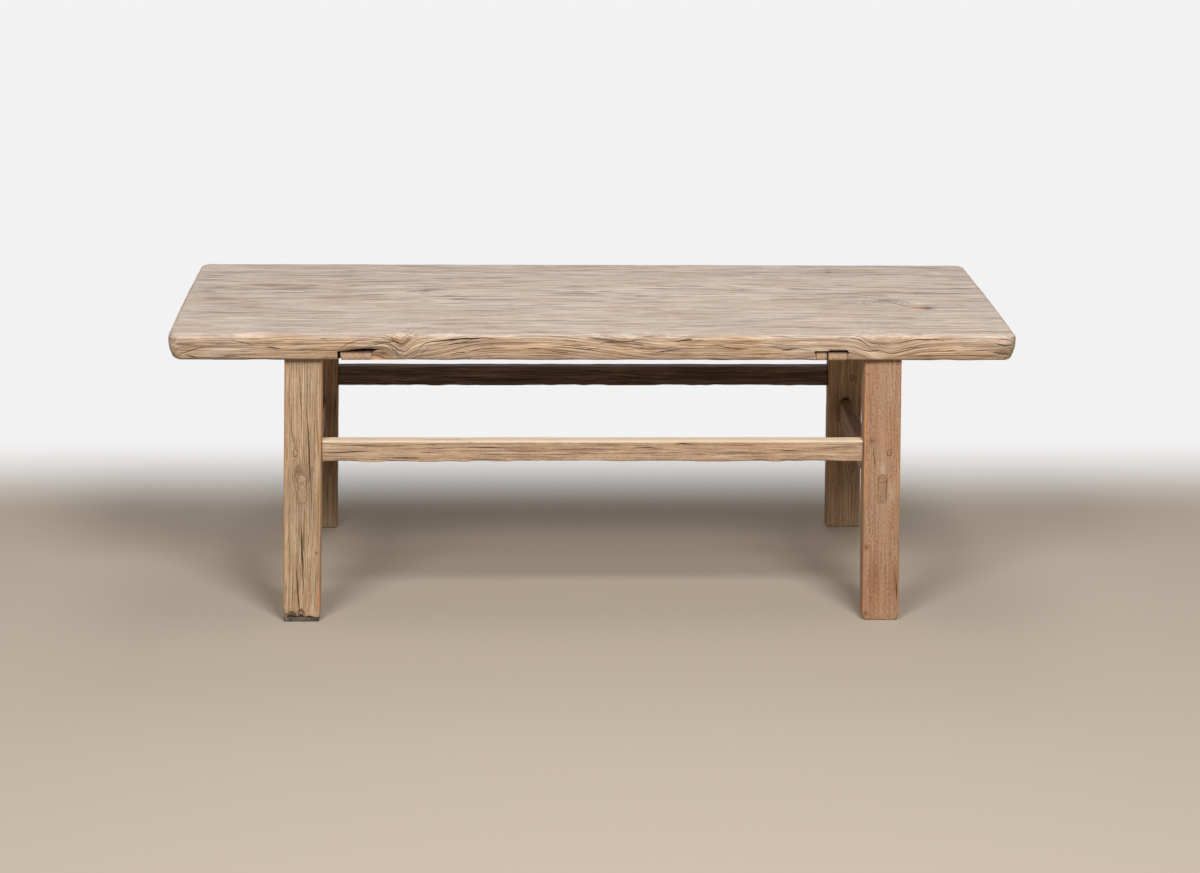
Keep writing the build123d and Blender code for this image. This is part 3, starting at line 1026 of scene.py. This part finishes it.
build_leg(
    "front_left", elm_leg, "elm_leg", ridge=0.3, fresh=0.85, weather=even(0.5),
    knots=[Knot(OUTER_FRONT, 217, -7, 16, 6)],
    cracks=[
        ([(206, 11), (221, 10.2), (254, 9.3), (298, 6.5)], 1.9, 2.4),
        ([(40, 3.4), (50, 2.9), (93, 1.2), (150, -2.2)], 2.1, 2.5),
        ([(6, -2.2), (33, -4.1), (80, -7.4)], 2.1, 2.5),
        ([(262, -12.2), (300, -17)], 1.1, 1.6),
        ([(292, -1.2), (376, -5)], 1.1, 1.4),
        ([(45, -15.5), (110, -17.5), (170, -19)], 1.0, 1.0),
        ([(150, 13.6), (200, 12.6), (243, 11.4)], 1.0, 1.0),
        ([(322, 7), (384, 4.8)], 1.0, 1.0),
    ],
    dents=[
        Dent((6, -14, -18), (9, 8, 9), 5.0),
        Dent((5, 0, -18), (13, 5, 9), 6.0),
        Dent((3, 12, -18), (6, 9, 7), 3.0),
        Dent((9, -26, -14), (10, 5, 6), 2.5),
    ],
    stains=[
        Spot((103, 21.4, -18), (1.8, 1.8, 3), 1.0),
        Spot((198, 0, -18), (44, 15, 4), 0.36),
        # Darker at the top of the front face, under the plank: painted shade, partly dirt
        Spot((378, 0, -18), (10, 30, 9), 0.25),
        Spot((9, -12, -18), (7, 9, 6), 0.5),
    ],
)
build_leg(
    "front_right", elm_leg_red, "elm_leg_red", splits=4, ridge=0.25, fresh=0.8, weather=even(0.4),
    cracks=[
        ([(28, 24), (66, 20.5)], 1.7, 1.4),
        ([(226, -9), (262, -14)], 1.4, 0.9),
    ],
    dents=[
        Dent((229, 1, -18), (13, 5, 4), 0.9),
        Dent((0, -28, 0), (7, 6, 60), 4.0),
        Dent((0, 28, 0), (7, 6, 60), 4.0),
    ],
    stains=[
        Spot((267, -15.6, -18), (5, 3, 4), 0.8),
        Spot((110, -21.7, -18), (4, 3, 4), 0.9),
        Spot((10, -21.8, -18), (3, 3, 4), 0.9),
        Spot((60, 20, -18), (24, 4, 4), 0.5),
        Spot((66, -10, -18), (30, 8, 4), 0.3),
        Spot((227, 1, -18), (10, 4, 4), -0.7),
        Spot((192, 15, -18), (15, 5, 4), -0.5),
        Spot((60, 0, -18), (110, 40, 5), 0.1),
        Spot((150, 1, -18), (280, 10, 5), -0.28),
    ],
)
# Both back legs are painted darker all over, the left one most: painted shade from the top above them
for corner, painted_shade in (("back_left", 0.28), ("back_right", 0.05)):
    build_leg(
        corner, elm_leg, "elm_leg", ridge=0.3, fresh=0.6,
        knots=[Knot(OUTER_FRONT, 118, 15, 26, 7)], stains=[Spot((190, 0, 0), (500, 90, 90), painted_shade)],
    )


# ---------------------------------------------------------------- felt pad
def build_pad():
    low, high = span("front_left_foot_pad")
    half = (high - low)[:2] / 2
    centre = ((low[0] + high[0]) / 2, (low[1] + high[1]) / 2, 0)
    points, normal, quads = slab(
        half, low[2], high[2], corner=3.0, arrises=(1.2, 1.2), steps=(1.2, 1.2, 0.7)
    )
    fuzz = 0.35 * np.maximum(0.5 + 0.5 * noise(points, (2.2, 2.2, 1.2), 61, 2), 0)
    piece = new_object("worn_foot_pad", points - normal * fuzz[:, None] + centre, quads)
    piece.data.materials.append(felt)
    piece.data.polygons.foreach_set("use_smooth", [True] * len(piece.data.polygons))
    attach(piece, "root")
    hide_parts("front_left_foot_pad")


def felt_material():
    material, tree = new_material("felt")
    place = add_node(tree, "TexCoord").outputs["Object"]
    lint = add_node(tree, "TexNoise", {"Vector": place, "Scale": 900.0, "Detail": 4.0}).outputs[0]
    worn = add_node(tree, "TexNoise", {"Vector": place, "Scale": 60.0, "Detail": 2.0}).outputs[0]
    tone = weighted(tree, [(lint, 0.6), (worn, 0.4)])
    colour = ramp(tree, tone, [(0.38, (52, 46, 40)), (0.5, (84, 76, 66)), (0.64, (132, 122, 108))])
    raised = add_node(tree, "Bump", {"Height": lint, "Distance": 0.0005, "Strength": 0.7})
    shader = add_node(tree, "BsdfPrincipled", {
        "Base Color": colour, "Normal": raised.outputs[0], "Roughness": 0.95, "Specular IOR Level": 0.2,
    })
    add_node(tree, "OutputMaterial", {"Surface": shader.outputs[0]})
    return material


felt = felt_material()
build_pad()


# ---------------------------------------------------------------- stretchers
def build_long_stretcher(node, material, seed, **marks):
    low, high = span(node)
    centre = (low + high) / 2
    reach = foot_x - lean_x * centre[2] - leg_width / 2
    half = (high - low)[1:] / 2

    def follow_legs(world):
        return level_shift(-lean_x * (world[:, 2] - centre[2]) * world[:, 0] / reach, 0.0)

    axes = Axes(ALONG_X, (0, centre[1], centre[2]), follow_legs)
    timber = Timber(seed, (-reach, *-half), (reach, *half), smooth_faces=(TOP,), **marks)
    piece = worn_bar(node, axes, timber, 2.5, (0.3, 0.3), (1.4, 1.4, 2.4))
    end = reach + leg_width - (end_recess + 0.1)
    tenon = prism(rectangle(*long_tenon), SIDE_VIEW, (-end, centre[1], centre[2]), (2 * end, 0, 0))
    joinery(piece, [tenon], "UNION")
    peg_cut, through = mortise(round_ended, peg_size), (0, 2 * leg_depth, 0)
    joinery(piece, [
        prism(peg_cut, FRONT_VIEW, (side * peg_centre[0], centre[1] - leg_depth, centre[2]), through)
        for side in (-1, 1)
    ])
    split(piece, timber, axes)
    finish_piece(piece, node, axes, timber, material)


def knocked_below(local):
    """Crisp upper arrises, and lower ones that feet have worn."""
    return 0.5 + 1.9 * ease(-local[:, W], -4, 6)


build_long_stretcher(
    "front_stretcher", elm_rail, 211, wave=0.9, arris_wear=knocked_below, fresh=0.6,
    weather=lambda local: 0.3 + 0.7 * ease(local[:, W], 13, 15.5),
    cracks=cracks_on(FRONT, [
        ([(-384, -1.5), (-340, -0.4), (-312, 0.5)], 2.0, 1.8),
        ([(-372, 9.5), (-300, 10)], 1.6, 1.0),
        ([(-330, -12), (-290, -11)], 1.6, 1.0),
        ([(-190, -11.2), (-120, -12)], 1.7, 1.2),
        ([(-60, 3), (30, 2)], 1.2, 0.6),
        ([(170, -3), (232, -2)], 1.2, 0.7),
    ]) + checks(FRONT, 16, 21, (-380, 380), (-12, 12)) + checks(TOP, 8, 22, (-380, 380), (-7, 7)),
    # The first spot paints the top face paler, towards the palest aged colour: partly weathering, partly a
    # painted highlight where the light falls on it
    stains=[Spot((0, 0, 16), (4000, 60, 3.2), -0.9), Spot((0, -12, 11.2), (4000, 6, 1.2), 0.3)],
    dents=[
        Dent((-268, -10.5, -14), (24, 4, 6), 2.0),
        Dent((-176, -10.5, 13), (4, 4, 3), 1.2),
        Dent((-40, -10.5, -16), (60, 6, 3), 1.6),
        Dent((120, -10.5, -16), (35, 6, 3), 1.8),
        Dent((300, -10.5, -16), (40, 6, 4), 1.8),
        Dent((-352, -10.5, -16), (26, 6, 4), 1.8),
    ],
)
build_long_stretcher(
    "back_stretcher", elm_rail_shaded, 233, wave=1.3, ridge=0.5, arris_wear=knocked_below, fresh=0.3,
    weather=lambda local: 0.2 + 0.8 * ease(local[:, W], 12, 15.5),
    cracks=checks(FRONT, 12, 31, (-380, 380), (-12, 12)) + checks(BACK, 12, 32, (-380, 380), (-12, 12)),
)


def side_woods(side, plain):
    """The redder wood for pieces at the table's right, and plain for those at its left."""
    return elm_leg_red if side > 0 else plain


def build_side_stretcher(node):
    low, high = span(node)
    side = 1 if low[0] > 0 else -1
    body_half = ((rail_low[2] - side_below_rail - low[2]) / 2, (high[0] - low[0]) / 2)
    centre_x, centre_z = (low[0] + high[0]) / 2, low[2] + body_half[0]
    reach = shoulder_y + lean_y * (underside - centre_z) - leg_depth / 2

    def follow_legs(world):
        return level_shift(0.0, -lean_y * (world[:, 2] - centre_z) * world[:, 1] / reach)

    axes = Axes(ALONG_Y, (centre_x, 0, centre_z), follow_legs)
    timber = Timber(
        263 + side, (-reach, *np.negative(body_half)), (reach, *body_half),
        wave=0.9, ridge=0.4, arris_wear=even(2.0), fresh=0.5, weather=even(0.6),
        cracks=checks(BACK, 6, 41, (10 - reach, reach - 10), (-12, 12)),
        # Darker towards both ends, where it enters the legs: painted shade
        stains=[Spot((end, 0, 0), (12, 60, 60), 0.35) for end in (-leg_high[1], leg_high[1])],
    )
    piece = worn_bar(node, axes, timber, 3.0, (0.3, 0.3), (1.6, 1.6, 2.4))

    top_out, top_in = wedge_low[2], wedge_low[2] + side_tenon_fall
    end = -leg_low[1] - lean_y * top_out - end_recess
    profile = [
        (-end, low[2]), (end, low[2]), (end, top_out), (end - leg_depth, top_in),
        (leg_depth - end, top_in), (-end, top_out),
    ]
    tenon = side_tenon(side_tenon_thickness, low[2], wedge_high[2], centre_x, -end, 2 * end, profile)
    joinery(piece, [tenon], "UNION")
    split(piece, timber, axes)
    finish_piece(piece, node, axes, timber, side_woods(side, elm_leg))


for node in ("left_side_stretcher", "right_side_stretcher"):
    build_side_stretcher(node)


# ---------------------------------------------------------------- pegs, wedges and battens
def build_peg(corner):
    node = f"peg_{corner}"
    low, high = span(node)
    half = ((high[2] - low[2]) / 2, (high[0] - low[0]) / 2)
    centre, reach = (low + high) / 2, (high[1] - low[1]) / 2 - end_recess
    axes = Axes(ALONG_Y, centre)
    timber = Timber(
        301 + list(corners).index(corner), (-reach, *np.negative(half)), (reach, *half),
        wave=0.3, ridge=0.15, arris_wear=even(0.3), fresh=0.0,
    )
    piece = worn_bar(node, axes, timber, half[1] - 0.05, (0.6, 0.6), (0.6, 0.6, 1.5))
    finish_piece(piece, node, axes, timber, side_woods(corners[corner][0], elm_peg))


def build_wedge(corner):
    node = f"wedge_{corner}"
    side_x, side_y = corners[corner]
    low, high = span(node)
    centre_x = (low[0] + high[0]) / 2
    outer = high[1] if side_y > 0 else -low[1]
    inner = outer - (high[1] - low[1])
    over, lift, slack, recess = 1, 0.35, 0.3, 0.7
    profile = [
        (side_y * (outer + over), low[2] + lift), (side_y * (outer + over), high[2] + over),
        (side_y * (inner - over), high[2] + over),
        (side_y * (inner - over), low[2] + (side_tenon_fall + 0.1)),
    ]
    if side_y > 0:
        profile.reverse()
    thickness, run = side_tenon_thickness - slack, side_y * (outer - inner - recess)
    piece = side_tenon(thickness, side_low[2], high[2], centre_x, side_y * inner, run, profile)
    piece.name = piece.data.name = f"worn_{node}"
    axes = Axes(ALONG_Y, (low + high) / 2)
    size = (high - low)[[1, 2, 0]] / 2
    timber = Timber(331 + list(corners).index(corner), -size, size, fresh=0.0)
    finish_piece(piece, node, axes, timber, side_woods(side_x, elm_peg))


for corner in corners:
    build_peg(corner)
    build_wedge(corner)


def build_batten(node, left_slope, right_slope):
    """A batten, as long as the plank is wide; a slope of 1 dovetails that side and 0 leaves it square."""
    low, high = span(node)
    depth = high[2] - low[2]
    middle, half = (low[0] + high[0]) / 2, (high[0] - low[0]) / 2

    def round_ends(points):
        into_round = np.maximum(under_edge_radius - (depth / 2 + points[:, 0]), 0)
        sunk = under_edge_radius - np.sqrt(np.maximum(under_edge_radius**2 - into_round**2, 0))
        points[:, 2] *= 1 - sunk / half_width

    def dovetail(local):
        narrow = (depth / 2 - local[:, V]) * dovetail_slope
        slope = np.where(local[:, W] > 0, -right_slope, left_slope)
        local[:, W] += narrow * slope * np.abs(local[:, W]) / half

    axes = Axes(ALONG_Y, (middle, 0, low[2] + depth / 2))
    timber = Timber(
        351 + round(middle), (-half_width, -depth / 2, -half), (half_width, depth / 2, half),
        wave=0.1, ridge=0.2, arris_wear=even(0.4), fresh=0.3,
        # Darker on both sides and along the top, where it meets the plank: painted shade
        stains=[Spot((0, 0, side * half), (4000, 20, 1.6), 1.0) for side in (-1, 1)]
        + [Spot((0, depth / 2, 0), (4000, 1.2, 60), 0.9)],
    )
    piece = worn_bar(node, axes, timber, 0.8, (0.8, 0.8), (1.4, 1.6, 2.6), round_ends, dovetail)
    finish_piece(piece, node, axes, timber, elm_batten)


build_batten("left_batten", 1, 1)
build_batten("right_batten_key", 1, 0)
build_batten("right_batten", 0, 1)


# ---------------------------------------------------------------- stage, lamps and camera
PAPER = linear(243, 242, 242)


def seen_directly(tree):
    """1 for rays from the camera, a gloss or a glass, which show the white background."""
    path = add_node(tree, "LightPath").outputs
    mirrored = calc(tree, "MAXIMUM", path["Is Glossy Ray"], path["Is Transmission Ray"])
    return calc(tree, "MAXIMUM", path["Is Camera Ray"], mirrored)


def build_floor():
    """A pale floor that turns into the white background behind the table and far from it."""
    reach = 12.0
    behind_from, behind_to, away_from, away_to = 0.26, 0.72, 1.7, 2.6
    mesh = bpy.data.meshes.new("floor")
    mesh.from_pydata([(x, y, 0) for x, y in rectangle(2 * reach, 2 * reach)], [], [(0, 1, 2, 3)])
    floor = put_in_scene("floor", mesh)
    material, tree = new_material("floor")
    shader = add_node(tree, "BsdfPrincipled", {
        "Base Color": linear(178, 165, 149), "Roughness": 0.75, "Specular IOR Level": 0.25,
    })
    place = add_node(tree, "TexCoord").outputs["Object"]
    depth = add_node(tree, "SeparateXYZ", {"Vector": place}).outputs["Y"]
    away = add_node(tree, "VectorMath", {0: place}, operation="LENGTH").outputs["Value"]
    faded = calc(
        tree, "MAXIMUM",
        between(tree, depth, behind_from, behind_to), between(tree, away, away_from, away_to),
    )
    white = add_node(tree, "Emission", {"Color": PAPER, "Strength": 1.0})
    share = calc(tree, "MULTIPLY", faded, seen_directly(tree))
    mixed = add_node(tree, "MixShader", {0: share, 1: shader.outputs[0], 2: white.outputs[0]})
    add_node(tree, "OutputMaterial", {"Surface": mixed.outputs[0]})
    mesh.materials.append(material)


def build_lamp(name, place, target, size, power):
    light = bpy.data.lights.new(name, "AREA")
    light.shape, light.size, light.energy = "DISK", size, power
    lamp = put_in_scene(name, light)
    lamp.location = place
    away = lamp.location - Vector(target)
    lamp.rotation_mode = "QUATERNION"
    lamp.rotation_quaternion = away.to_track_quat("Z", "Y")


def build_world():
    world = bpy.data.worlds.new("studio")
    bpy.context.scene.world = world
    world.use_nodes = True
    tree = world.node_tree
    tree.nodes.clear()
    soft = add_node(tree, "Background", {"Color": (1, 1, 1, 1), "Strength": 0.05})
    white = add_node(tree, "Background", {"Color": PAPER, "Strength": 1.0})
    mixed = add_node(tree, "MixShader", {0: seen_directly(tree), 1: soft.outputs[0], 2: white.outputs[0]})
    add_node(tree, "OutputWorld", {"Surface": mixed.outputs[0]})


def build_camera():
    """The viewpoint of an onlooker some 3.8 m in front of the table and 1.3 m up."""
    pitch, yaw, roll = (math.radians(angle) for angle in (16.174, 2.36, 0.64))
    forward = np.array([math.sin(yaw) * math.cos(pitch), math.cos(yaw) * math.cos(pitch), -math.sin(pitch)])
    level = np.array([math.cos(yaw), -math.sin(yaw), 0.0])
    down = np.cross(forward, level)
    across = level * math.cos(roll) - down * math.sin(roll)
    down = level * math.sin(roll) + down * math.cos(roll)
    data = bpy.data.cameras.new("camera")
    data.sensor_width, data.lens = 36.0, 79.92
    camera = put_in_scene("camera", data)
    turn = Matrix(np.column_stack([across, -down, -forward]).tolist()).to_4x4()
    turn.translation = (-0.1402, -3.8376, 1.3226)
    camera.matrix_world = turn
    bpy.context.scene.camera = camera


build_floor()
build_world()
build_lamp("overhead", (0.1, 0.0, 2.9), (0, 0, 0), size=1.2, power=9)
build_lamp("rear", (0.3, 1.9, 2.9), (0, 0, 0.2), size=1.4, power=13)
build_lamp("front_key", (0.95, -2.7, 2.95), (0, 0, 0.3), size=1.4, power=112)
build_lamp("front_fill", (-1.4, -2.75, 2.88), (0, 0, 0.3), size=1.4, power=82)
build_camera()
bpy.context.scene.view_settings.view_transform = "Standard"
